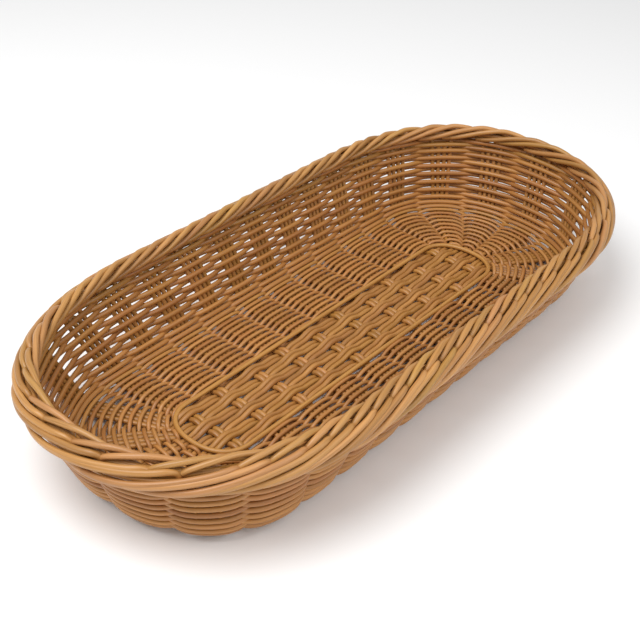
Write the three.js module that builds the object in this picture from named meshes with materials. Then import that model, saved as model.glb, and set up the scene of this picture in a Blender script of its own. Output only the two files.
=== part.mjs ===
// Long oval bread basket woven from plastic cane, in millimetres.
// +X runs along the basket, +Z is up, and the origin is under its middle, on the table.
//
// How the real basket is made, from the middle of the floor outwards:
//  - lengthwise bundles of cane cross over crosswise bundles in the middle of the floor;
//  - one ring strand lies round that panel, and rounds of weavers fill the floor outside it;
//  - every bundle turns up at the foot and becomes a wall stake, the lengthwise ones fanning
//    out round the ends, and wall rounds weave in front of and behind the stakes;
//  - the stakes end in a border of two rolls that lie side by side.
import * as THREE from 'three';

// Whole basket
const RIM_HALF_LENGTH = 225;
const RIM_HALF_WIDTH = 105;
const BASKET_HEIGHT = 70;

// Cane and clearances
const STAKE_THICKNESS = 3.0;
const PANEL_BUNDLE_WIDTH = 6.4;
const WALL_BUNDLE_WIDTH = 11.0;
const WEAVER_THICKNESS = 2.6;
const GAP = 0.35;
const CURVE_ALLOWANCE = 0.2;

// Floor layers, from the table up: lower rounds, stakes, upper rounds
const LOWER_ROUND_Z = WEAVER_THICKNESS / 2;
const STAKE_Z = WEAVER_THICKNESS + GAP + STAKE_THICKNESS / 2;
const UPPER_ROUND_Z = STAKE_Z + STAKE_THICKNESS / 2 + GAP + WEAVER_THICKNESS / 2;
const UPPER_BUNDLE_Z = STAKE_Z + STAKE_THICKNESS + GAP;

// Floor panel
const CROSSWISE_COUNT = 10;
const LENGTHWISE_COUNT = 6;
const LENGTHWISE_PITCH = 7.3;
const PANEL_HALF_LENGTH = 139;
const PANEL_HALF_WIDTH = 27;
const PANEL_END_LENGTH = 22;
const BUNDLE_STEP_START = 124.8;
const BUNDLE_STEP_END = 128.6;

// Rounds of weavers
const FLOOR_ROUND_COUNT = 6;
const FLOOR_ROUND_FILL = 0.92;
const FLOOR_INSIDE_FOOT = 2;
const WALL_ROUND_COUNT = 8;
const WALL_ROUND_HALF_PASS = 0.26;
const FLAT_RING_STEPS = 56;

// Wall, measured at the middle of the stakes
const FOOT = { halfLength: 192.5, halfWidth: 71.5, endLength: 64, sideReach: 134.5 };
const WALL_TOP = { halfLength: 216.5, halfWidth: 96.5, endLength: 123, sideReach: 150 };
const WALL_TOP_Z = 56;
const FOOT_BEND = 6;
const FOOT_BEND_STEPS = 4;
const WALL_ROUNDS_FROM_Z = 9.6;

// Border rolls: corners of their sections, each as its distance inside the rim's outline
// and its depth below the top of the basket
const RIM_END_LENGTH = 132;
const OUTER_ROLL = [
  [0.4, 17.2], [2.2, 16.4], [7.8, 12.4], [8.2, 6], [6.8, 3.2], [3.2, 5.8], [0.8, 9.5], [0, 13],
];
const INNER_ROLL = [
  [8.6, 5.8], [9, 10.8], [12.6, 11.1], [15.2, 9.8], [15.6, 6], [15, 1.8], [12.8, 0], [10.2, 1.6],
];
const ROLL_STEPS = 64;

// End fan: where the lengthwise bundles start to spread, from the outermost to the middle
const FAN_STARTS = [131.5, 139, 146];

const END_ROUNDNESS = 2.2;
const STATION_COUNT = 2 * (CROSSWISE_COUNT + LENGTHWISE_COUNT);

const CANE = {
  stake: new THREE.MeshStandardMaterial({ color: '#b07a3c', roughness: 0.45, metalness: 0 }),
  weaver: new THREE.MeshStandardMaterial({ color: '#a86f35', roughness: 0.45, metalness: 0 }),
  border: new THREE.MeshStandardMaterial({ color: '#c8994f', roughness: 0.42, metalness: 0 }),
};

const basket = new THREE.Group();

// ---------------------------------------------------------------------------
// Geometry helpers

// A closed solid skinned over a list of sections, each with the same number of corners,
// listed counter-clockwise when seen from the side that the list runs towards.
function loft(sections, closed) {
  const corners = sections[0].length;
  const positions = sections.flat().flatMap((p) => [p.x, p.y, p.z]);
  const index = [];
  const spans = closed ? sections.length : sections.length - 1;
  for (let s = 0; s < spans; s += 1) {
    const here = s * corners;
    const next = ((s + 1) % sections.length) * corners;
    for (let c = 0; c < corners; c += 1) {
      const d = (c + 1) % corners;
      index.push(here + c, here + d, next + d);
      index.push(here + c, next + d, next + c);
    }
  }
  if (!closed) {
    const last = (sections.length - 1) * corners;
    for (let c = 1; c < corners - 1; c += 1) {
      index.push(0, c + 1, c);
      index.push(last, last + c, last + c + 1);
    }
  }
  const geometry = new THREE.BufferGeometry();
  geometry.setAttribute('position', new THREE.Float32BufferAttribute(positions, 3));
  geometry.setIndex(index);
  geometry.computeVertexNormals();
  return geometry;
}

function addPiece(name, geometry, material) {
  const mesh = new THREE.Mesh(geometry, material);
  mesh.name = name;
  basket.add(mesh);
}

const twoDigits = (number) => String(number).padStart(2, '0');

// ---------------------------------------------------------------------------
// Oval outlines: a straight middle with a rounded end of a given length

// The point of the outline at an angle measured about the middle of its rounded end.
function ovalPoint(oval, angle) {
  const c = Math.cos(angle);
  const s = Math.sin(angle);
  const power = 2 / END_ROUNDNESS;
  const straight = oval.halfLength - oval.endLength;
  return new THREE.Vector2(
    Math.sign(c) * (straight + oval.endLength * Math.abs(c) ** power),
    Math.sign(s) * oval.halfWidth * Math.abs(s) ** power,
  );
}

function ovalWidthAt(oval, x) {
  const past = Math.max(0, Math.abs(x) - (oval.halfLength - oval.endLength)) / oval.endLength;
  return oval.halfWidth * (1 - past ** END_ROUNDNESS) ** (1 / END_ROUNDNESS);
}

// Points of the whole outline, evenly spaced along it.
function ovalLoop(oval, count) {
  const fine = [];
  const fineCount = 720;
  for (let i = 0; i <= fineCount; i += 1) {
    fine.push(ovalPoint(oval, (2 * Math.PI * i) / fineCount));
  }
  return evenlySpaced(fine, count, false);
}

// Resamples a polyline at equal steps of its length.
function evenlySpaced(points, count, withLast) {
  const lengths = [0];
  for (let i = 1; i < points.length; i += 1) {
    lengths.push(lengths[i - 1] + points[i].distanceTo(points[i - 1]));
  }
  const total = lengths[lengths.length - 1];
  const steps = withLast ? count - 1 : count;
  const result = [];
  let i = 1;
  for (let k = 0; k < count; k += 1) {
    const target = (total * k) / steps;
    while (i < lengths.length - 1 && lengths[i] < target) i += 1;
    const part = (target - lengths[i - 1]) / (lengths[i] - lengths[i - 1]);
    result.push(points[i - 1].clone().lerp(points[i], part));
  }
  return result;
}

// The rounded end of an outline beyond its side stations, from +Y round to -Y, at +X.
function makeEndArc(oval) {
  const fine = [];
  const fineCount = 400;
  for (let i = 0; i <= fineCount; i += 1) {
    const point = ovalPoint(oval, Math.PI / 2 - (Math.PI * i) / fineCount);
    if (point.x >= oval.sideReach) fine.push(point);
  }
  const edge = ovalWidthAt(oval, oval.sideReach);
  fine.unshift(new THREE.Vector2(oval.sideReach, edge));
  fine.push(new THREE.Vector2(oval.sideReach, -edge));
  return evenlySpaced(fine, 401, true);
}

FOOT.endArc = makeEndArc(FOOT);
WALL_TOP.endArc = makeEndArc(WALL_TOP);

// Stations count the stakes round the basket: the +Y side from +X to -X, the -X end,
// the -Y side back to +X, and the +X end. A stake stands at the middle of its station.
function stationPoint(oval, station) {
  const wrapped = ((station % STATION_COUNT) + STATION_COUNT) % STATION_COUNT;
  const half = wrapped % (STATION_COUNT / 2);
  const turned = wrapped >= STATION_COUNT / 2 ? -1 : 1;
  if (half <= CROSSWISE_COUNT) {
    const x = oval.sideReach * (1 - (2 * half) / CROSSWISE_COUNT);
    return new THREE.Vector2(turned * x, turned * ovalWidthAt(oval, x));
  }
  const along = ((half - CROSSWISE_COUNT) / LENGTHWISE_COUNT) * (oval.endArc.length - 1);
  const i = Math.min(Math.floor(along), oval.endArc.length - 2);
  const point = oval.endArc[i].clone().lerp(oval.endArc[i + 1], along - i);
  return new THREE.Vector2(-turned * point.x, turned * point.y);
}

// ---------------------------------------------------------------------------
// Wall surface

function wallPoint(station, rise) {
  const plan = stationPoint(FOOT, station).lerp(stationPoint(WALL_TOP, station), rise);
  return new THREE.Vector3(plan.x, plan.y, STAKE_Z + rise * (WALL_TOP_Z - STAKE_Z));
}

// Directions at a point of the wall: along the rounds, up the stakes, and outwards.
function wallFrame(station, rise) {
  const step = 0.05;
  const along = wallPoint(station + step, rise).sub(wallPoint(station - step, rise)).normalize();
  const up = wallPoint(station, 1).sub(wallPoint(station, 0)).normalize();
  const out = up.clone().cross(along).negate().normalize();
  return { along, up, out };
}

// ---------------------------------------------------------------------------
// Stakes

// A stake is a list of stops, each a point with the bundle's width and its side direction.
// This is the wall part, from the top down to the floor, with a bend at the foot.
// inward is the floor's direction at the foot, pointing to the middle of the basket.
function wallStretch(station, inward) {
  const foot = wallPoint(station, 0);
  const { along, up } = wallFrame(station, 0);
  const top = wallPoint(station, 1);
  const bendStart = foot.clone().addScaledVector(up, FOOT_BEND);
  const bendEnd = foot.clone().addScaledVector(inward, FOOT_BEND);
  const bend = new THREE.QuadraticBezierCurve3(bendStart, foot, bendEnd);
  const stops = [{ point: top, width: WALL_BUNDLE_WIDTH, side: wallFrame(station, 1).along }];
  for (const point of bend.getPoints(FOOT_BEND_STEPS)) {
    stops.push({ point, width: WALL_BUNDLE_WIDTH, side: along.clone() });
  }
  return stops;
}

function floorStop(x, y, z, width, side) {
  return { point: new THREE.Vector3(x, y, z), width, side };
}

// Skins a flat bundle of cane over its stops.
function bundle(stops) {
  const sections = stops.map((stop, i) => {
    const before = stops[Math.max(i - 1, 0)].point;
    const after = stops[Math.min(i + 1, stops.length - 1)].point;
    const into = stop.point.clone().sub(before).normalize();
    const outOf = after.clone().sub(stop.point).normalize();
    const along = into.add(outOf).normalize();
    const side = stop.side.clone().addScaledVector(along, -stop.side.dot(along)).normalize();
    const normal = along.clone().cross(side).normalize();
    const w = stop.width / 2;
    const t = STAKE_THICKNESS / 2;
    return [[-w, -t], [w, -t], [w, t], [-w, t]].map(([a, b]) =>
      stop.point.clone().addScaledVector(side, a).addScaledVector(normal, b));
  });
  return loft(sections, false);
}

// One end of a bundle is the mirror of the other: the far half is walked backwards.
function mirrored(stops, axis) {
  const flip = new THREE.Vector3(axis === 'x' ? -1 : 1, axis === 'y' ? -1 : 1, 1);
  return stops.map(({ point, width, side }) => ({
    point: point.clone().multiply(flip),
    width,
    side: side.clone().multiply(flip),
  })).reverse();
}

function addCrosswiseBundles() {
  for (let i = 0; i < CROSSWISE_COUNT; i += 1) {
    const station = i + 0.5;
    const x = wallPoint(station, 0).x;
    const half = wallStretch(station, new THREE.Vector3(0, -1, 0));
    const side = new THREE.Vector3(-1, 0, 0);
    half.push(floorStop(x, PANEL_HALF_WIDTH, STAKE_Z, PANEL_BUNDLE_WIDTH, side));
    const stops = [...half, ...mirrored(half, 'y')];
    addPiece(`crosswise_bundle_${twoDigits(i + 1)}`, bundle(stops), CANE.stake);
  }
}

function addLengthwiseBundles() {
  for (let i = 0; i < LENGTHWISE_COUNT; i += 1) {
    const y = LENGTHWISE_PITCH * ((LENGTHWISE_COUNT - 1) / 2 - i);
    const station = CROSSWISE_COUNT + i + 0.5;
    const foot = wallPoint(station, 0);
    const fanStart = FAN_STARTS[Math.min(i, LENGTHWISE_COUNT - 1 - i)];
    const turn = new THREE.Vector3(-fanStart, y, STAKE_Z);
    const inward = turn.clone().sub(foot).normalize();
    const side = new THREE.Vector3(0, -1, 0);
    const half = wallStretch(station, inward);
    half.push({ point: turn, width: PANEL_BUNDLE_WIDTH, side });
    half.push(floorStop(-BUNDLE_STEP_END, y, STAKE_Z, PANEL_BUNDLE_WIDTH, side));
    half.push(floorStop(-BUNDLE_STEP_START, y, UPPER_BUNDLE_Z, PANEL_BUNDLE_WIDTH, side));
    const stops = [...half, ...mirrored(half, 'x')];
    addPiece(`lengthwise_bundle_${i + 1}`, bundle(stops), CANE.stake);
  }
}

// ---------------------------------------------------------------------------
// Rounds of weavers

// A flat ring lying on the floor between two ovals.
function flatRing(inner, outer, z) {
  const insideLoop = ovalLoop(inner, FLAT_RING_STEPS);
  const outsideLoop = ovalLoop(outer, FLAT_RING_STEPS);
  const t = WEAVER_THICKNESS / 2;
  const sections = insideLoop.map((a, i) => {
    const b = outsideLoop[i];
    return [
      new THREE.Vector3(a.x, a.y, z - t),
      new THREE.Vector3(a.x, a.y, z + t),
      new THREE.Vector3(b.x, b.y, z + t),
      new THREE.Vector3(b.x, b.y, z - t),
    ];
  });
  return loft(sections, true);
}

function panelOval(beyond) {
  return {
    halfLength: PANEL_HALF_LENGTH + beyond,
    halfWidth: PANEL_HALF_WIDTH + beyond,
    endLength: PANEL_END_LENGTH + beyond,
  };
}

function addPanelRing() {
  const half = WEAVER_THICKNESS / 2;
  addPiece('panel_ring', flatRing(panelOval(-half), panelOval(half), UPPER_ROUND_Z), CANE.weaver);
}

// Floor rounds lie above and below the stakes in turn; the outermost is the one the
// basket stands on.
function addFloorRounds() {
  const inner = panelOval(WEAVER_THICKNESS / 2 + 2 * GAP);
  const outer = {
    halfLength: FOOT.halfLength - FLOOR_INSIDE_FOOT,
    halfWidth: FOOT.halfWidth - FLOOR_INSIDE_FOOT,
    endLength: FOOT.endLength - FLOOR_INSIDE_FOOT,
  };
  const between = (f) => ({
    halfLength: THREE.MathUtils.lerp(inner.halfLength, outer.halfLength, f),
    halfWidth: THREE.MathUtils.lerp(inner.halfWidth, outer.halfWidth, f),
    endLength: THREE.MathUtils.lerp(inner.endLength, outer.endLength, f),
  });
  for (let i = 0; i < FLOOR_ROUND_COUNT; i += 1) {
    const from = between(i / FLOOR_ROUND_COUNT);
    const to = between((i + FLOOR_ROUND_FILL) / FLOOR_ROUND_COUNT);
    const z = i % 2 === 0 ? UPPER_ROUND_Z : LOWER_ROUND_Z;
    addPiece(`floor_round_${i + 1}`, flatRing(from, to, z), CANE.weaver);
  }
}

// Wall rounds pass outside one stake and inside the next, and the next round does the
// opposite.
function addWallRounds() {
  const offset = (STAKE_THICKNESS + WEAVER_THICKNESS) / 2 + GAP + CURVE_ALLOWANCE;
  const wallRise = WALL_TOP_Z - STAKE_Z;
  const from = (WALL_ROUNDS_FROM_Z - STAKE_Z) / wallRise;
  const pitch = (1 - from) / WALL_ROUND_COUNT;
  const gap = GAP / wallRise;
  for (let k = 0; k < WALL_ROUND_COUNT; k += 1) {
    const low = from + k * pitch;
    const high = low + pitch - gap;
    const sections = [];
    for (let stake = 0; stake < STATION_COUNT; stake += 1) {
      const shift = (stake + k) % 2 === 0 ? offset : -offset;
      for (const edge of [-WALL_ROUND_HALF_PASS, 0, WALL_ROUND_HALF_PASS]) {
        sections.push(wallRoundSection(stake + 0.5 + edge, low, high, shift));
      }
    }
    addPiece(`wall_round_${k + 1}`, loft(sections, true), CANE.weaver);
  }
}

function wallRoundSection(station, low, high, shift) {
  const { out } = wallFrame(station, low);
  const t = WEAVER_THICKNESS / 2;
  const corner = (rise, push) => wallPoint(station, rise).addScaledVector(out, push);
  return [
    corner(low, shift - t),
    corner(high, shift - t),
    corner(high, shift + t),
    corner(low, shift + t),
  ];
}

// ---------------------------------------------------------------------------
// Border: two rolls side by side on top of the wall

function borderRoll(section) {
  const loops = section.map(([inside]) => ovalLoop({
    halfLength: RIM_HALF_LENGTH - inside,
    halfWidth: RIM_HALF_WIDTH - inside,
    endLength: RIM_END_LENGTH - inside,
  }, ROLL_STEPS));
  const sections = loops[0].map((_, step) => section.map(([, depth], corner) => {
    const { x, y } = loops[corner][step];
    return new THREE.Vector3(x, y, BASKET_HEIGHT - depth);
  }));
  return loft(sections, true);
}

function addBorder() {
  addPiece('border_outer_roll', borderRoll(OUTER_ROLL), CANE.border);
  addPiece('border_inner_roll', borderRoll(INNER_ROLL), CANE.border);
}

addLengthwiseBundles();
addCrosswiseBundles();
addPanelRing();
addFloorRounds();
addWallRounds();
addBorder();

export default basket;
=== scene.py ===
"""The bread basket's looks: every cane strand of the weave and the border as its own tube.

All lengths are in millimetres until a mesh is made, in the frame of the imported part:
+X along the basket, +Z up, the origin under the middle, on the table.

A station is a place round the basket, from 0 to 32: stake j leaves the floor panel at j + 0.5.
A level is a place on the way out: 0 is the panel's edge, 1 the foot and 2 the top of the wall.
"""

import math

import bpy
import numpy as np
from mathutils import Matrix, Vector


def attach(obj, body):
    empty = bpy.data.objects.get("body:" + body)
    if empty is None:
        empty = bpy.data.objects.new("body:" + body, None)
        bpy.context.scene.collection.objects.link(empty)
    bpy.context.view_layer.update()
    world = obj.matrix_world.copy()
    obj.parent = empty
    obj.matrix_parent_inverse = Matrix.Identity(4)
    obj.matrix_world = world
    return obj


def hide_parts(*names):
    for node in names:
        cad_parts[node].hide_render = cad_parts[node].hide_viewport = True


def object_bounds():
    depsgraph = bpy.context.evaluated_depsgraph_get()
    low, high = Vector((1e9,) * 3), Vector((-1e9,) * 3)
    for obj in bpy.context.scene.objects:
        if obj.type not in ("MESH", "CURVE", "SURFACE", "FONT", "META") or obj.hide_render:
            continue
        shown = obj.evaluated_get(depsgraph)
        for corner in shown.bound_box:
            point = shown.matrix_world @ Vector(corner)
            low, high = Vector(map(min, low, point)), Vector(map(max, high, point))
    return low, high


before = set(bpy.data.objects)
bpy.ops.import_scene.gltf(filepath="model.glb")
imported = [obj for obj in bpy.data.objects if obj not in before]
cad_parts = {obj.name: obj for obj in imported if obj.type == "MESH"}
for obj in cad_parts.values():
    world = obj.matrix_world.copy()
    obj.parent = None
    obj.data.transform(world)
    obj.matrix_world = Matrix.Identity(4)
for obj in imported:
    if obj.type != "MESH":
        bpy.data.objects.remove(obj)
cad_low, cad_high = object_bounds()

MM = 0.001
TINY = 1e-9
DOWN = (0.0, 0.0, -1.0)

# Cane: radii, thickness as a share of width, and how an open end is rounded
STAKE_RADIUS = 1.6
FLOOR_WEAVER_RADIUS = 1.27
WALL_WEAVER_RADIUS = 1.66
RING_RADIUS = 1.5
UNDER_RING_RADIUS = RING_RADIUS * 1.1
OUTER_BORDER_RADIUS = 1.82
INNER_BORDER_RADIUS = 1.72
WEAVER_FLAT = 0.82
STRAND_FLAT = 0.94
STRAND_SIDES = 8
BORDER_SIDES = 10
END_ANGLES = np.radians([28, 55, 76])
END_POLE = 0.35

# Floor panel: how its strands are spaced, and how far they wave above and below PANEL_Z
STAKE_Z = 4.45
PANEL_Z = 5.4
CROSSWISE_COUNT = 10
CROSSWISE_PITCH = 26.9
CROSSWISE_WAVE = 0.95
LENGTHWISE_COUNT = 6
LENGTHWISE_PITCH = 7.6
LENGTHWISE_WAVE = 2.3
MIDDLE_COLUMN = (CROSSWISE_COUNT - 1) / 2
MIDDLE_BAND = (LENGTHWISE_COUNT - 1) / 2
BAND_RADIUS = 1.72
BAND_STRAND_PITCH = 3.5
BAND_DIP_REACH = 10.5
CROSSWISE_END_GAP = 0.5
LENGTHWISE_END_GAP = 0.8
CROSSWISE_RISE = 7.0
LENGTHWISE_RISE = 12.0

# Outlines: half length, half width, length of the rounded end, and where the side stops
PANEL = dict(half_length=138.5, half_width=26.5, end=22.0)
FOOT = dict(half_length=195.0, half_width=74.0, end=64.0, reach=134.5)
WALL_TOP = dict(half_length=216.5, half_width=96.5, end=123.0, reach=150.0)
RIM = dict(half_length=cad_high.x / MM, half_width=cad_high.y / MM, end=132.0, reach=152.0)
WALL_TOP_Z = 56.0
FOOT_BEND = 11.0
ROUNDNESS = 2.2

# Stations
STATIONS = 2 * (CROSSWISE_COUNT + LENGTHWISE_COUNT)
HALF_ROUND = STATIONS // 2
SIDE_MIDDLE = CROSSWISE_COUNT / 2
QUARTER = STATIONS / 4

# Stakes: starts and ends are levels, leans are stations, and the rest are millimetres
STRAND_PITCH = 3.2
STRANDS_PER_STAKE = 4
MIDDLE_STRAND = (STRANDS_PER_STAKE - 1) / 2
THROUGH_STRANDS = (1, 2)
EXTRA_STRANDS = (0, 3)
THROUGH_START = 0.06
SIDE_EXTRA_START = 0.03
END_EXTRA_STARTS = (0.10, 0.20, 0.26, 0.26, 0.20, 0.10)
STAKE_END_LEVEL = 1.99
BRANCH_LEVEL = 1.86
STAKE_DRIFT = 0.12
TOP_SPREAD = 0.7
END_TOP_SPREAD = 0.9
SIDE_LEAN = 0.14
END_LEAN = 0.26
FLOOR_LEAN_SHARE = 0.4
WALL_LEAN_SHARE = 0.6

# Rows of weavers: rows are evenly spaced in level, but for WALL_ROW_CROWDING
FLOOR_ROWS = 21
WALL_ROWS = 20
FLOOR_NODES = 6
WALL_NODES = 8
FIRST_ROW = 0.45
FLOOR_ROW_SPAN = FLOOR_ROWS - 0.05
WALL_ROW_SPAN = 0.995
WALL_ROW_CROWDING = 0.026
FLOOR_WEAVE_DEPTH = 2.6
WALL_WEAVE_DEPTH = 2.2
WEAVE_SNAP = 1.7
ROW_DRIFT = 0.10
RING_LEVEL = -0.025
RING_GAP = 0.1
UNDER_RING_LEVEL = -0.01
UNDER_RING_DROP = 1.2

# Border, with sections as (distance inside the rim outline, height) for the strands' middles
OUTER_SECTION = [(8.5, 51.0), (5.6, 52.2), (3.4, 54.0), (2.3, 56.4), (2.9, 59.2), (4.7, 61.9),
                 (6.6, 63.7), (8.4, 62.8), (9.2, 59.5)]
INNER_SECTION = [(9.3, 60.5), (8.9, 63.4), (9.6, 66.0), (11.4, 67.7), (13.1, 67.0), (13.9, 64.6),
                 (13.9, 61.6), (12.4, 59.0), (10.2, 58.0)]
# Courses of the strands: (stations travelled, millimetres along the section)
OUTER_COURSE = [(0.0, 0.0), (0.15, 2.0), (0.4, 4.6), (0.75, 7.2), (1.15, 9.7), (1.55, 12.3),
                (1.95, 14.9), (2.3, 17.2), (2.46, 19.3), (2.52, 22.3)]
INNER_COURSE = [(0.0, 0.0), (0.08, 3.0), (0.25, 5.6), (0.5, 7.9), (0.8, 10.6), (1.08, 13.2),
                (1.35, 16.2), (1.6, 19.0), (1.75, 21.0)]
# Strands under the border: (stations travelled, distance inside, height)
INNER_BED = [(0.06, 8.6, 57.5), (0.2, 8.8, 59.6), (0.6, 9.6, 61.0), (1.2, 10.4, 61.8), (2.2, 10.8, 61.8)]
OUTER_BED = [(0.06, 8.2, 56.8), (0.3, 6.4, 57.2), (0.8, 5.6, 57.8), (1.5, 5.9, 58.6), (2.2, 6.8, 59.6)]
INNER_FIRST = 2.48
PAIR_STAGGER = 0.44
BED_STAGGER = 0.15
BORDER_MIDDLE_INSET = 9.0
BORDER_MIDDLE_Z = 62.0
OUTER_HINT_SHRINK = 0.9
OUTER_HINT_Z = 58.0
START_JITTER = 0.02
SHIFT_JITTER = 0.15
OUTER_LATE_JITTER = 0.03
INNER_LATE_JITTER = 0.04

# How finely curves are made. A station length turns stations into millimetres for even spacing.
QUARTER_POINTS = 1500
FINE_STATIONS = np.linspace(0, QUARTER, 2001)
STATION_NUDGE = 0.03
LEVEL_NUDGE = 0.02
BORDER_NUDGE = 0.02
CURVE_STEPS = 24
WANDER_KNOTS = 9
STAKE_STEP = 0.016
LEAD_STEP = 0.012
CROSSWISE_SAMPLES = 70
LENGTHWISE_SAMPLES = 360
ROW_SAMPLES = 15
RING_STEP = 0.1
SECTION_SAMPLES = 400
BED_STATION_LENGTH = 30.0
BED_SAMPLES = 40
BORDER_STATION_LENGTH = 27.0
COURSE_SAMPLES = 160
LEAD_SKIP = 4
LEAD_STRIDE = 6
OUTER_SAMPLES = 230

rng = np.random.default_rng(7)


# ---------------------------------------------------------------------------
# Outlines


def oval_quarter(oval):
    """Fine points of a quarter outline from the middle of a side to the middle of an end."""
    turn = np.linspace(math.pi / 2, 0, QUARTER_POINTS)
    power = 2 / ROUNDNESS
    straight = oval["half_length"] - oval["end"]
    x = straight + oval["end"] * np.abs(np.cos(turn)) ** power
    y = oval["half_width"] * np.abs(np.sin(turn)) ** power
    points = np.c_[x, y]
    points[-1, 1] = 0
    return np.vstack([[0, oval["half_width"]], points])


def lengths_along(points):
    steps = np.linalg.norm(np.diff(points, axis=0), axis=1)
    return np.r_[0, np.cumsum(steps)]


def station_table(oval):
    """Plan points at FINE_STATIONS, counted from the middle of a side to the middle of an end."""
    points = oval_quarter(oval)
    along = lengths_along(points)
    if "reach" in oval:
        stations = [0, SIDE_MIDDLE, QUARTER]
        marks = [0, np.interp(oval["reach"], points[:, 0], along), along[-1]]
    else:
        bands = [MIDDLE_BAND - k for k in range(LENGTHWISE_COUNT // 2)]
        stations = [0] + [MIDDLE_COLUMN + k for k in range(len(bands) + 1)] + [QUARTER]
        marks = [0, np.interp(CROSSWISE_PITCH * MIDDLE_COLUMN, points[:, 0], along)]
        marks += [np.interp(-LENGTHWISE_PITCH * band, -points[:, 1], along) for band in bands]
        marks.append(along[-1])
    wanted = np.interp(FINE_STATIONS, stations, marks)
    return np.c_[np.interp(wanted, along, points[:, 0]), np.interp(wanted, along, points[:, 1])]


for outline in (PANEL, FOOT, WALL_TOP, RIM):
    outline["table"] = station_table(outline)


def outline_point(oval, station):
    """Plan points at stations: 0 to 10 are the +Y side from +X to -X, then round by -X."""
    station = np.mod(np.asarray(station, float), STATIONS)
    from_middle = np.mod(station - SIDE_MIDDLE, HALF_ROUND)
    quarter = np.where(from_middle <= QUARTER, from_middle, HALF_ROUND - from_middle)
    x = np.interp(quarter, FINE_STATIONS, oval["table"][:, 0])
    y = np.interp(quarter, FINE_STATIONS, oval["table"][:, 1])
    x = np.where((station > SIDE_MIDDLE) & (station < SIDE_MIDDLE + HALF_ROUND), -x, x)
    first_low = SIDE_MIDDLE + QUARTER
    y = np.where((station > first_low) & (station < first_low + HALF_ROUND), -y, y)
    return np.stack([x, y], -1)


# ---------------------------------------------------------------------------
# The woven surface


def lifted(oval, station, z):
    return np.concatenate([outline_point(oval, station), np.full(station.shape + (1,), z)], -1)


def shell_point(station, level):
    """Points of the surface through the stakes: flat floor, bend at the foot, straight wall."""
    station, level = np.broadcast_arrays(np.asarray(station, float), np.asarray(level, float))
    inner = lifted(PANEL, station, STAKE_Z)
    foot = lifted(FOOT, station, STAKE_Z)
    top = lifted(WALL_TOP, station, WALL_TOP_Z)
    floor_length = np.linalg.norm(foot - inner, axis=-1)
    wall_length = np.linalg.norm(top - foot, axis=-1)
    into = (inner - foot) / floor_length[..., None]
    up = (top - foot) / wall_length[..., None]
    past = np.where(level < 1, (level - 1) * floor_length, (level - 1) * wall_length)
    part = np.clip((past + FOOT_BEND) / (2 * FOOT_BEND), 0, 1)[..., None]
    bend = (1 - part) ** 2 * (foot + into * FOOT_BEND) + 2 * part * (1 - part) * foot
    bend = bend + part**2 * (foot + up * FOOT_BEND)
    straight = np.where(past[..., None] < 0, foot - into * past[..., None], foot + up * past[..., None])
    return np.where(np.abs(past)[..., None] < FOOT_BEND, bend, straight)


def unit(v):
    return v / np.maximum(np.linalg.norm(v, axis=-1, keepdims=True), TINY)


def shell_frame(station, level):
    """Directions along the rows, up the stakes, and out of the basket."""
    along = unit(shell_point(station + STATION_NUDGE, level) - shell_point(station - STATION_NUDGE, level))
    up = unit(shell_point(station, level + LEVEL_NUDGE) - shell_point(station, level - LEVEL_NUDGE))
    return along, up, unit(np.cross(along, up))


def endness(station):
    """0 at the middle of a side, 1 at the middle of an end."""
    return 0.5 - 0.5 * np.cos(2 * math.pi * (np.asarray(station) - SIDE_MIDDLE) / HALF_ROUND)


def lean(level, station):
    """How far a stake has moved round the basket, in stations, on its way out."""
    most = SIDE_LEAN + END_LEAN * endness(station)
    floor_part, wall_part = np.clip(level, 0, 1), np.clip(level - 1, 0, 1)
    return most * (FLOOR_LEAN_SHARE * floor_part + WALL_LEAN_SHARE * wall_part)


# ---------------------------------------------------------------------------
# Strand meshes


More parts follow.
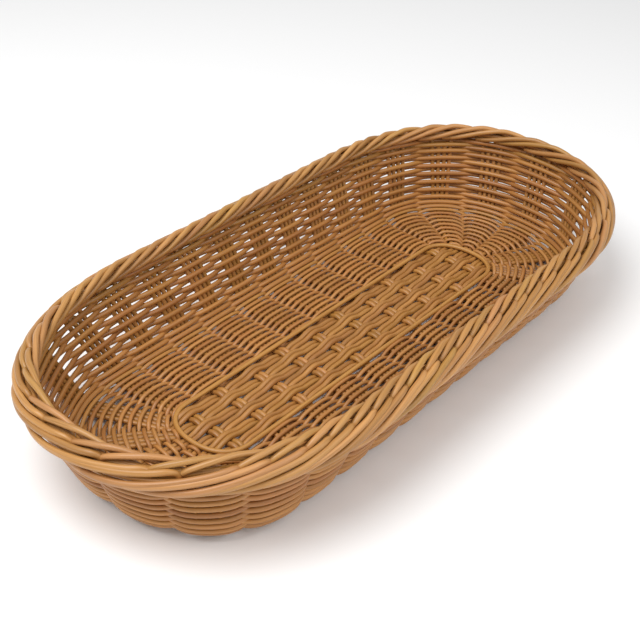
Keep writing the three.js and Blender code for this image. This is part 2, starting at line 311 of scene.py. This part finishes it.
class Cane:
    """Collects strands into one mesh, with what the materials need to know of each point.

    The attribute "grain" is a point's place in its own strand: length along it, then across.
    The attribute "tone" is three random numbers, the same all over a strand.
    """

    def __init__(self, sides=STRAND_SIDES):
        self.sides = sides
        self.points, self.quads, self.tris = [], [], []
        self.grain, self.tone = [], []
        self.count = 0

    def add(self, path, hint, radius, closed=False, flat=STRAND_FLAT):
        """A tube round a path. hint is the direction across its flatter way at each point."""
        path = np.asarray(path, float)
        hint = np.broadcast_to(np.asarray(hint, float), path.shape)
        radius = np.broadcast_to(np.asarray(radius, float), path.shape[:1])
        if closed:
            tangent = unit(np.roll(path, -1, 0) - np.roll(path, 1, 0))
        else:
            tangent = unit(np.gradient(path, axis=0))
            path, tangent, hint, radius = self.round_ends(path, tangent, hint, radius)
        start = self.count
        along = lengths_along(path)
        self.add_rings(path, tangent, hint, radius, along, flat)
        rows = len(path)
        index = start + np.arange(rows * self.sides).reshape(rows, self.sides)
        here = index if closed else index[:-1]
        ahead = np.roll(index, -1, 0) if closed else index[1:]
        quads = np.stack([here, np.roll(here, -1, 1), np.roll(ahead, -1, 1), ahead], -1)
        self.quads.append(quads.reshape(-1, 4))
        if not closed:
            for row, sign in ((0, -1), (rows - 1, 1)):
                pole = path[row][None] + tangent[row] * sign * radius[row] * END_POLE
                self.add_pole(pole, along[row], index[row], sign)
        self.tone.append(np.tile(rng.random(3), (self.count - start, 1)))

    def add_rings(self, path, tangent, hint, radius, along, flat):
        """A ring of points round each point of the path."""
        side = unit(np.cross(tangent, hint))
        normal = np.cross(side, tangent)
        turn = 2 * math.pi * np.arange(self.sides) / self.sides
        cos, sin = np.cos(turn), np.sin(turn)
        ring = side[:, None] * cos[None, :, None] + flat * normal[:, None] * sin[None, :, None]
        points = path[:, None] + ring * radius[:, None, None]
        across = (cos[None] * radius.max(), sin[None] * radius.max())
        grain = np.stack(np.broadcast_arrays(along[:, None], *across), -1)
        self.points.append(points.reshape(-1, 3))
        self.grain.append(grain.reshape(-1, 3))
        self.count += len(path) * self.sides

    def add_pole(self, point, along, ring, sign):
        """The point that closes an end, and the fan of triangles round it."""
        fan = np.stack([ring, np.roll(ring, -1), np.full(self.sides, self.count)], -1)
        self.tris.append(fan[:, ::-1] if sign < 0 else fan)
        self.points.append(point)
        self.grain.append([[along, 0, 0]])
        self.count += 1

    def round_ends(self, path, tangent, hint, radius):
        """The same strand with a few narrowing rings added past each end."""
        extra = (len(END_ANGLES), 1)
        out, size = np.sin(END_ANGLES), np.cos(END_ANGLES)
        first = path[0] - tangent[0] * radius[0] * out[::-1, None]
        last = path[-1] + tangent[-1] * radius[-1] * out[:, None]
        path = np.vstack([first, path, last])
        tangent = np.vstack([np.tile(tangent[0], extra), tangent, np.tile(tangent[-1], extra)])
        hint = np.vstack([np.tile(hint[0], extra), hint, np.tile(hint[-1], extra)])
        radius = np.r_[radius[0] * size[::-1], radius, radius[-1] * size]
        return path, tangent, hint, radius

    def make(self, name, material, slot, node):
        """The collected strands as one object that stands for a node of the CAD part."""
        points = np.concatenate(self.points) * MM
        quads = np.concatenate(self.quads)
        tris = np.concatenate(self.tris) if self.tris else np.zeros((0, 3), int)
        mesh = bpy.data.meshes.new(name)
        mesh.vertices.add(len(points))
        mesh.vertices.foreach_set("co", points.astype(np.float32).ravel())
        mesh.loops.add(quads.size + tris.size)
        mesh.loops.foreach_set("vertex_index", np.r_[quads.ravel(), tris.ravel()].astype(np.int32))
        starts = np.r_[np.arange(len(quads)) * 4, quads.size + np.arange(len(tris)) * 3]
        mesh.polygons.add(len(quads) + len(tris))
        mesh.polygons.foreach_set("loop_start", starts.astype(np.int32))
        mesh.polygons.foreach_set("use_smooth", np.ones(len(starts), bool))
        mesh.update(calc_edges=True)
        mesh.validate()
        grain = mesh.attributes.new("grain", "FLOAT_VECTOR", "POINT")
        grain.data.foreach_set("vector", (np.concatenate(self.grain) * MM).astype(np.float32).ravel())
        tone = mesh.attributes.new("tone", "FLOAT_VECTOR", "POINT")
        tone.data.foreach_set("vector", np.concatenate(self.tone).astype(np.float32).ravel())
        obj = bpy.data.objects.new(name, mesh)
        bpy.context.scene.collection.objects.link(obj)
        mesh.materials.append(material)
        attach(obj, "root")
        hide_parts(node)


def smooth_path(controls, count):
    """A smooth curve through control rows, evenly spaced along its length."""
    c = np.asarray(controls, float)
    ends = np.vstack([2 * c[0] - c[1], c, 2 * c[-1] - c[-2]])
    pieces = []
    for i in range(1, len(ends) - 2):
        p0, p1, p2, p3 = ends[i - 1 : i + 3]
        t = np.linspace(0, 1, CURVE_STEPS, endpoint=False)[:, None]
        bent = 2 * p1 + (p2 - p0) * t + (2 * p0 - 5 * p1 + 4 * p2 - p3) * t**2
        pieces.append(0.5 * (bent + (3 * p1 - p0 - 3 * p2 + p3) * t**3))
    return resample(np.vstack(pieces + [c[-1:]]), count)


def resample(points, count):
    along = lengths_along(points)
    wanted = np.linspace(0, along[-1], count)
    return np.stack([np.interp(wanted, along, points[:, k]) for k in range(points.shape[1])], -1)


def wander(count, size):
    """A slow random drift along a strand."""
    knot_values = rng.normal(0, size, WANDER_KNOTS)
    return np.interp(np.linspace(0, WANDER_KNOTS - 1, count), np.arange(WANDER_KNOTS), knot_values)


def ease(x):
    x = np.clip(x, 0, 1)
    return x * x * (3 - 2 * x)


# ---------------------------------------------------------------------------
# Stakes


def row_level(row):
    """Level of a row of weavers: the floor's rows, then the wall's, closer at foot and top."""
    if row < FLOOR_ROWS:
        return (row + FIRST_ROW) / FLOOR_ROW_SPAN
    part = (row - FLOOR_ROWS + FIRST_ROW) / WALL_ROWS
    return 1 + WALL_ROW_SPAN * (part - WALL_ROW_CROWDING * math.sin(2 * math.pi * part))


def stake_end(stake):
    """The level where a stake strand that goes into the border is cut, under a weaver."""
    rows = [r for r in range(FLOOR_ROWS, FLOOR_ROWS + WALL_ROWS) if (r + stake) % 2 == 0]
    levels = np.array([row_level(r) for r in rows])
    return levels[np.argmin(np.abs(levels - BRANCH_LEVEL))]


def strand_shift(strand, level, stake):
    """Sideways place of a strand in its stake; the strands spread towards the top."""
    most = TOP_SPREAD + END_TOP_SPREAD * endness(stake + 0.5)
    pitch = STRAND_PITCH + most * np.clip(level - 1, 0, 1)
    return (strand - MIDDLE_STRAND) * pitch


def stake_strand(stake, strand, first, last, step=STAKE_STEP):
    """Points and outward directions of one strand of a stake between two levels."""
    level = np.arange(first, last + step / 2, step)
    station = stake + 0.5 + lean(level, stake + 0.5)
    along, _, out = shell_frame(station, level)
    shift = strand_shift(strand, level, stake) + wander(len(level), STAKE_DRIFT)
    return shell_point(station, level) + along * shift[:, None], out


def extra_start(stake):
    """Where the strands that were put in beside the panel's own begin."""
    in_end = (stake % HALF_ROUND) - CROSSWISE_COUNT
    return SIDE_EXTRA_START if in_end < 0 else END_EXTRA_STARTS[in_end]


def border_start(stake):
    """The station where a stake meets the border."""
    return stake + 0.5 + lean(2.0, stake + 0.5)


def bed_path(stake, strand):
    """Where an outer strand of a stake bends over, under the border's own strands."""
    start = border_start(stake) + (strand - MIDDLE_STRAND) * BED_STAGGER
    stations, insets, heights = np.array(OUTER_BED if strand == 0 else INNER_BED).T
    fine = smooth_path(np.c_[stations * BED_STATION_LENGTH, insets, heights], BED_SAMPLES)
    return border_point(start + fine[:, 0] / BED_STATION_LENGTH, fine[:, 1], fine[:, 2])


def add_extra_strands(cane, stake):
    """The strands laid beside the panel's own, which end in the bed under the border."""
    for strand in EXTRA_STRANDS:
        path, out = stake_strand(stake, strand, extra_start(stake), STAKE_END_LEVEL)
        bed, bed_out = bed_path(stake, strand)
        cane.add(np.vstack([path, bed]), np.vstack([out, bed_out]), STAKE_RADIUS)


def add_through_strands(cane, stake, opposite, panel_path):
    """The strands that run from wall to wall through the panel."""
    for strand, back in zip(THROUGH_STRANDS, reversed(THROUGH_STRANDS)):
        here, out_here = stake_strand(stake, strand, THROUGH_START, stake_end(stake))
        there, out_there = stake_strand(opposite, back, THROUGH_START, stake_end(opposite))
        middle, radius = panel_path(strand - MIDDLE_STRAND)
        path = np.vstack([here[::-1], middle, there])
        out = np.vstack([out_here[::-1], np.tile(DOWN, (len(middle), 1)), out_there])
        radius = np.r_[np.full(len(here), STAKE_RADIUS), radius, np.full(len(there), STAKE_RADIUS)]
        cane.add(path, out, radius)


def spread(inside, side):
    """Sideways shift and radius of a panel strand: fuller in the middle of the panel."""
    shift = side * (STRAND_PITCH + inside * (BAND_STRAND_PITCH - STRAND_PITCH))
    return shift, STAKE_RADIUS + inside * (BAND_RADIUS - STAKE_RADIUS)


def crosswise_middle(column):
    """The panel part of a crosswise strand, from +Y to -Y; column 0 is nearest +X."""
    x = CROSSWISE_PITCH * (MIDDLE_COLUMN - column)
    half_width = np.interp(abs(x), PANEL["table"][:, 0], PANEL["table"][:, 1])
    reach = half_width - CROSSWISE_END_GAP

    def path(side):
        y = np.linspace(reach, -reach, CROSSWISE_SAMPLES)
        band = MIDDLE_BAND + 1 - y / LENGTHWISE_PITCH
        inside = ease((half_width - np.abs(y)) / CROSSWISE_RISE)
        # lengthwise_middle counts its columns from -X, so this one counts back from there
        wave = CROSSWISE_WAVE * np.cos(math.pi * (band + CROSSWISE_COUNT - 1 - column))
        z = STAKE_Z + inside * (PANEL_Z - STAKE_Z + wave)
        shift, radius = spread(inside, side)
        return np.c_[x + shift, y, z], radius

    return path


def lengthwise_middle(band):
    """The panel part of a lengthwise strand, from -X to +X; band 0 is nearest +Y."""
    y = LENGTHWISE_PITCH * (MIDDLE_BAND - band)
    reach = PANEL["half_length"] - LENGTHWISE_END_GAP

    def path(side):
        x = np.linspace(-reach, reach, LENGTHWISE_SAMPLES)
        column = np.clip(np.round(x / CROSSWISE_PITCH + MIDDLE_COLUMN), 0, CROSSWISE_COUNT - 1)
        beside = np.abs(x - (column - MIDDLE_COLUMN) * CROSSWISE_PITCH) / BAND_DIP_REACH
        dip = np.where(beside < 1, 0.5 + 0.5 * np.cos(math.pi * beside), 0)
        inside = ease((reach - np.abs(x)) / LENGTHWISE_RISE)
        wave = -LENGTHWISE_WAVE * dip * np.cos(math.pi * (column + band + 1))
        z = STAKE_Z + inside * (PANEL_Z - STAKE_Z + wave)
        shift, radius = spread(inside, side)
        return np.c_[x, y - shift, z], radius

    return path


def make_bundle(kind, number, stake, opposite, panel_path, material):
    cane = Cane()
    add_through_strands(cane, stake, opposite, panel_path)
    add_extra_strands(cane, stake)
    add_extra_strands(cane, opposite)
    cane.make(f"{kind}_cane_{number}", material, "stake_cane", f"{kind}_bundle_{number}")


def make_stakes(material):
    for column in range(CROSSWISE_COUNT):
        opposite = HALF_ROUND + CROSSWISE_COUNT - 1 - column
        number = f"{column + 1:02d}"
        make_bundle("crosswise", number, column, opposite, crosswise_middle(column), material)
    for band in range(LENGTHWISE_COUNT):
        stake = CROSSWISE_COUNT + band
        opposite = STATIONS - 1 - band
        make_bundle("lengthwise", band + 1, stake, opposite, lengthwise_middle(band), material)


# ---------------------------------------------------------------------------
# Rows of weavers


def weave_side(station, level, row):
    """+1 where a row passes outside the stakes and -1 inside, with a quick change between."""
    beat = np.cos(math.pi * (station - lean(level, station) - 0.5 + row))
    return np.tanh(WEAVE_SNAP * beat) / math.tanh(WEAVE_SNAP)


def row_path(row):
    """Points and outward directions of one row, all the way round."""
    count = STATIONS * ROW_SAMPLES
    station = np.arange(count) / ROW_SAMPLES
    knots = rng.normal(0, ROW_DRIFT, HALF_ROUND)
    drift = np.interp(station, np.arange(0, STATIONS + 1, 2), np.r_[knots, knots[0]])
    level = np.full(count, row_level(row))
    _, up, out = shell_frame(station, level)
    depth = WALL_WEAVE_DEPTH if row >= FLOOR_ROWS else FLOOR_WEAVE_DEPTH
    depth = depth * weave_side(station, level, row)
    centre = shell_point(station, level) + out * depth[:, None] + up * drift[:, None]
    return centre, out


def add_rows(name, rows, material, node):
    cane = Cane()
    for row in rows:
        path, out = row_path(row)
        radius = WALL_WEAVER_RADIUS if row >= FLOOR_ROWS else FLOOR_WEAVER_RADIUS
        cane.add(path, out, radius, closed=True, flat=WEAVER_FLAT)
    cane.make(name, material, "weaver_cane", node)


def share(node, nodes, rows):
    """The rows, counted from 0, that one of several nodes stands for."""
    return range(node * rows // nodes, (node + 1) * rows // nodes)


def add_ring(cane, level, z, radius):
    ring = shell_point(np.arange(0, STATIONS, RING_STEP), level)
    ring[:, 2] = z
    cane.add(ring, DOWN, radius, closed=True)


def make_rows(material):
    for node in range(FLOOR_NODES):
        rows = share(node, FLOOR_NODES, FLOOR_ROWS)
        add_rows(f"floor_weave_{node + 1}", rows, material, f"floor_round_{node + 1}")
    for node in range(WALL_NODES):
        rows = [FLOOR_ROWS + row for row in share(node, WALL_NODES, WALL_ROWS)]
        add_rows(f"wall_weave_{node + 1}", rows, material, f"wall_round_{node + 1}")
    cane = Cane()
    add_ring(cane, RING_LEVEL, STAKE_Z + STAKE_RADIUS + RING_RADIUS + RING_GAP, RING_RADIUS)
    add_ring(cane, UNDER_RING_LEVEL, STAKE_Z - STAKE_RADIUS - UNDER_RING_DROP, UNDER_RING_RADIUS)
    cane.make("panel_ring_cane", material, "weaver_cane", "panel_ring")


# ---------------------------------------------------------------------------
# Border


def section_point(section, along):
    fine = smooth_path(section, SECTION_SAMPLES)
    lengths = lengths_along(fine)
    return np.stack([np.interp(along, lengths, fine[:, k]) for k in range(2)], -1)


def border_point(station, inset, z):
    """Points inside the rim outline, and the flat direction out of the basket at each."""
    plan = outline_point(RIM, station)
    ahead = outline_point(RIM, station + BORDER_NUDGE) - outline_point(RIM, station - BORDER_NUDGE)
    ahead = unit(ahead)
    outward = np.stack([ahead[:, 1], -ahead[:, 0]], -1)
    plan = plan - outward * np.asarray(inset)[:, None]
    return np.c_[plan, z], np.c_[outward, np.zeros(len(plan))]


def border_path(start, course, section, shift, late):
    """Stations and points of a strand.

    shift moves it along the section, and late carries its end further round the basket.
    """
    rows = np.array(course, float)
    rows[:, 1] += shift
    weight = ease((rows[:, 0] - rows[0, 0]) / (rows[-1, 0] - rows[0, 0]))
    rows[:, 0] += late * weight + start
    lengths = [BORDER_STATION_LENGTH, 1.0]
    rows = smooth_path(rows * lengths, COURSE_SAMPLES) / lengths
    inset_z = section_point(section, np.clip(rows[:, 1], 0, None))
    path, _ = border_point(rows[:, 0], inset_z[:, 0], inset_z[:, 1])
    return rows[:, 0], path


def outer_strand(start, shift, late, lead):
    """A strand of the outer row, with the points of its stake that it comes from."""
    _, path = border_path(start, OUTER_COURSE, OUTER_SECTION, shift, late)
    path = np.vstack([lead, path])
    bends = np.arange(len(lead) + LEAD_SKIP, len(path), LEAD_STRIDE)
    keep = np.r_[np.arange(len(lead)), bends, len(path) - 1]
    path = smooth_path(path[keep], OUTER_SAMPLES)
    centre = np.c_[path[:, :2] * OUTER_HINT_SHRINK, np.full(len(path), OUTER_HINT_Z)]
    return path, unit(path - centre)


def inner_strand(start, late):
    """A strand of the inner row, which arches over the crest of the border."""
    station, path = border_path(start, INNER_COURSE, INNER_SECTION, 0.0, late)
    insets = np.full(len(station), BORDER_MIDDLE_INSET)
    centre, _ = border_point(station, insets, np.full(len(station), BORDER_MIDDLE_Z))
    return path, unit(path - centre)


def make_border(material):
    outer, inner = Cane(BORDER_SIDES), Cane(BORDER_SIDES)
    for stake in range(STATIONS):
        for strand, side in zip(THROUGH_STRANDS, (-1, 1)):
            end = stake_end(stake)
            lead, _ = stake_strand(stake, strand, end, end + LEAD_STEP, LEAD_STEP)
            start = border_start(stake) + rng.normal(0, START_JITTER)
            shift = rng.normal(0, SHIFT_JITTER)
            late = side * PAIR_STAGGER / 2 + rng.normal(0, OUTER_LATE_JITTER)
            path, hint = outer_strand(start, shift, late, lead)
            outer.add(path, hint, OUTER_BORDER_RADIUS)
        for side in (-1, 1):
            start = border_start(stake) + INNER_FIRST + side * PAIR_STAGGER / 2
            start = start + rng.normal(0, START_JITTER)
            path, hint = inner_strand(start, rng.normal(0, INNER_LATE_JITTER))
            inner.add(path, hint, INNER_BORDER_RADIUS)
    outer.make("border_outer_cane", material, "border_cane", "border_outer_roll")
    inner.make("border_inner_cane", material, "border_cane", "border_inner_roll")


# ---------------------------------------------------------------------------
# Materials


def srgb(r, g, b):
    """A colour given as it looks on a screen, 0 to 255."""
    return tuple((c / 255) ** 2.2 for c in (r, g, b))


STAKE_COLOURS = [srgb(162, 112, 58), srgb(174, 124, 68), srgb(168, 120, 58), srgb(178, 124, 72)]
WEAVER_COLOURS = [srgb(168, 116, 62), srgb(182, 130, 74), srgb(174, 118, 66), srgb(178, 130, 68)]
BORDER_COLOURS = [srgb(172, 124, 68), srgb(186, 138, 82), srgb(184, 132, 84), srgb(178, 134, 72)]
WEAVE_ROUGHNESS = 0.40
BORDER_ROUGHNESS = 0.38
ROUGHNESS_RANGE = 0.16

# Factors on the colour: (place on the ramp, the factor for red, green and blue)
STREAK_STOPS = [(0.30, (0.78, 0.74, 0.66)), (0.52, (1, 1, 1)), (0.75, (1.10, 1.10, 1.12))]
BLOTCH_STOPS = [(0.35, (0.86, 0.80, 0.74)), (0.65, (1.06, 1.05, 1.02))]
STRAND_STOPS = [(0.0, (0.86, 0.84, 0.80)), (0.5, (1, 1, 1)), (1.0, (1.10, 1.10, 1.10))]
STREAK_STRENGTH = 0.85
BLOTCH_STRENGTH = 0.7
STRAND_STRENGTH = 1.0
GRAIN_STRETCH = (45.0, 1300.0, 1300.0)
TONE_STRETCH = (37.0, 53.0, 71.0)

# Places of the colour sockets on Blender's mix node
MIX_FACTOR, MIX_FIRST, MIX_SECOND = 0, 6, 7
MIX_COLOUR_RESULT = 2


class Nodes:
    """Short calls for building a node tree."""

    def __init__(self, material):
        material.use_nodes = True
        self.tree = material.node_tree
        self.tree.nodes.clear()

    def add(self, kind, **sockets):
        node = self.tree.nodes.new(kind)
        for name, value in sockets.items():
            self.set(node, name.replace("_", " "), value)
        return node

    def set(self, node, name, value):
        """Gives a socket, by name or number, a value or the output of another node."""
        socket = node.inputs[name]
        if isinstance(value, bpy.types.NodeSocket):
            self.tree.links.new(value, socket)
        else:
            socket.default_value = value

    def attribute(self, name):
        node = self.add("ShaderNodeAttribute")
        node.attribute_name = name
        return node.outputs["Vector"]

    def maths(self, kind, operation, *values):
        node = self.add(kind)
        node.operation = operation
        for k, value in enumerate(values):
            self.set(node, k, value)
        return node.outputs[0]

    def ramp(self, value, stops):
        node = self.add("ShaderNodeValToRGB")
        self.set(node, 0, value)
        elements = node.color_ramp.elements
        while len(elements) < len(stops):
            elements.new(0.5)
        for element, (place, colour) in zip(elements, stops):
            element.position = place
            element.color = (*colour, 1)
        return node.outputs[0]

    def multiply(self, factor, first, second):
        node = self.add("ShaderNodeMix")
        node.data_type = "RGBA"
        node.blend_type = "MULTIPLY"
        self.set(node, MIX_FACTOR, factor)
        self.set(node, MIX_FIRST, first)
        self.set(node, MIX_SECOND, second)
        return node.outputs[MIX_COLOUR_RESULT]

    def finish(self, shader):
        out = self.add("ShaderNodeOutputMaterial")
        self.tree.links.new(shader.outputs[0], out.inputs["Surface"])


def cane_material(name, colours, roughness):
    """Satin plastic cane: a colour to each strand, fine lengthwise grain and a soft gloss."""
    material = bpy.data.materials.new(name)
    n = Nodes(material)
    tone = n.attribute("tone")
    split = n.add("ShaderNodeSeparateXYZ", Vector=tone)
    stretched = n.maths("ShaderNodeVectorMath", "MULTIPLY", n.attribute("grain"), GRAIN_STRETCH)
    place = n.maths("ShaderNodeVectorMath", "MULTIPLY_ADD", tone, TONE_STRETCH, stretched)
    streaks = n.add("ShaderNodeTexNoise", Vector=place, Scale=1.0, Detail=3.0, Roughness=0.6)
    blotches = n.add("ShaderNodeTexNoise", Vector=place, Scale=0.35, Detail=2.0)
    colour = n.ramp(split.outputs["X"], [(k / (len(colours) - 1), c) for k, c in enumerate(colours)])
    colour = n.multiply(STREAK_STRENGTH, colour, n.ramp(streaks.outputs["Fac"], STREAK_STOPS))
    colour = n.multiply(BLOTCH_STRENGTH, colour, n.ramp(blotches.outputs["Fac"], BLOTCH_STOPS))
    colour = n.multiply(STRAND_STRENGTH, colour, n.ramp(split.outputs["Y"], STRAND_STOPS))
    lowest = roughness - ROUGHNESS_RANGE / 2
    rough = n.maths("ShaderNodeMath", "MULTIPLY_ADD", streaks.outputs["Fac"], ROUGHNESS_RANGE, lowest)
    bump = n.add("ShaderNodeBump", Strength=0.35, Distance=0.00012, Height=streaks.outputs["Fac"])
    shader = n.add("ShaderNodeBsdfPrincipled", Base_Color=colour, Roughness=rough, Normal=bump.outputs[0])
    n.set(shader, "Specular IOR Level", 0.5)
    n.finish(shader)
    return material


# ---------------------------------------------------------------------------
# Table, light and camera

# Table and lights, in metres and watts
TABLE_SIZE = 8.0
TABLE_DROP = 0.0002
TABLE_COLOUR = (0.93, 0.93, 0.93, 1)
WORLD_STRENGTH = 0.56
AREA_SIZE = 0.9
KEY_PLACE = (-0.55, 0.15, 1.1)
KEY_TARGET = (0.02, 0, 0.03)
KEY_POWER = 11.5
FILL_PLACE = (0.0, -0.9, 0.9)
FILL_TARGET = (0, 0, 0.03)
FILL_POWER = 4.5

# Camera, in degrees and millimetres
CAMERA_AZIMUTH = 219.12
CAMERA_ELEVATION = 35.34
CAMERA_DISTANCE = 725.5
CAMERA_FIELD = 33.52
CAMERA_ROLL = 2.34
CAMERA_TARGET = (25.0, 43.9, -15.6)
SENSOR_WIDTH = 36.0


def make_stage():
    bpy.ops.mesh.primitive_grid_add(x_subdivisions=2, y_subdivisions=2, size=TABLE_SIZE)
    table = bpy.context.object
    table.name = "table"
    table.location.z = cad_low.z - TABLE_DROP
    material = bpy.data.materials.new("pale_table")
    n = Nodes(material)
    shader = n.add("ShaderNodeBsdfPrincipled", Base_Color=TABLE_COLOUR, Roughness=0.9)
    n.set(shader, "Specular IOR Level", 0.1)
    n.finish(shader)
    table.data.materials.append(material)


def make_area(name, place, target, power):
    light = bpy.data.lights.new(name, "AREA")
    light.shape = "DISK"
    light.size = AREA_SIZE
    light.energy = power
    obj = bpy.data.objects.new(name, light)
    bpy.context.scene.collection.objects.link(obj)
    obj.location = place
    obj.rotation_mode = "QUATERNION"
    obj.rotation_quaternion = (Vector(target) - Vector(place)).to_track_quat("-Z", "Y")


def make_lights():
    world = bpy.data.worlds.new("studio")
    bpy.context.scene.world = world
    world.use_nodes = True
    background = world.node_tree.nodes["Background"]
    background.inputs[0].default_value = (1.0, 1.0, 1.0, 1)
    background.inputs[1].default_value = WORLD_STRENGTH
    make_area("key_light", KEY_PLACE, KEY_TARGET, KEY_POWER)
    make_area("fill_light", FILL_PLACE, FILL_TARGET, FILL_POWER)


def make_camera():
    azimuth, elevation = math.radians(CAMERA_AZIMUTH), math.radians(CAMERA_ELEVATION)
    flat_x = math.cos(elevation) * math.cos(azimuth)
    flat_y = math.cos(elevation) * math.sin(azimuth)
    back = Vector((flat_x, flat_y, math.sin(elevation)))
    level_right = (-back).cross(Vector((0, 0, 1))).normalized()
    level_up = level_right.cross(-back)
    roll = math.radians(CAMERA_ROLL)
    right = level_right * math.cos(roll) + level_up * math.sin(roll)
    up = level_up * math.cos(roll) - level_right * math.sin(roll)
    data = bpy.data.cameras.new("camera")
    data.sensor_width = SENSOR_WIDTH
    data.lens = data.sensor_width / 2 / math.tan(math.radians(CAMERA_FIELD) / 2)
    data.clip_start, data.clip_end = 0.01, 20.0
    camera = bpy.data.objects.new("camera", data)
    bpy.context.scene.collection.objects.link(camera)
    camera.rotation_mode = "QUATERNION"
    camera.rotation_quaternion = Matrix((right, up, back)).transposed().to_quaternion()
    camera.location = (Vector(CAMERA_TARGET) + back * CAMERA_DISTANCE) * MM
    bpy.context.scene.camera = camera


make_stakes(cane_material("stake_plastic", STAKE_COLOURS, WEAVE_ROUGHNESS))
make_rows(cane_material("weaver_plastic", WEAVER_COLOURS, WEAVE_ROUGHNESS))
make_border(cane_material("border_plastic", BORDER_COLOURS, BORDER_ROUGHNESS))
make_stage()
make_lights()
make_camera()
bpy.context.scene.view_settings.view_transform = "Standard"
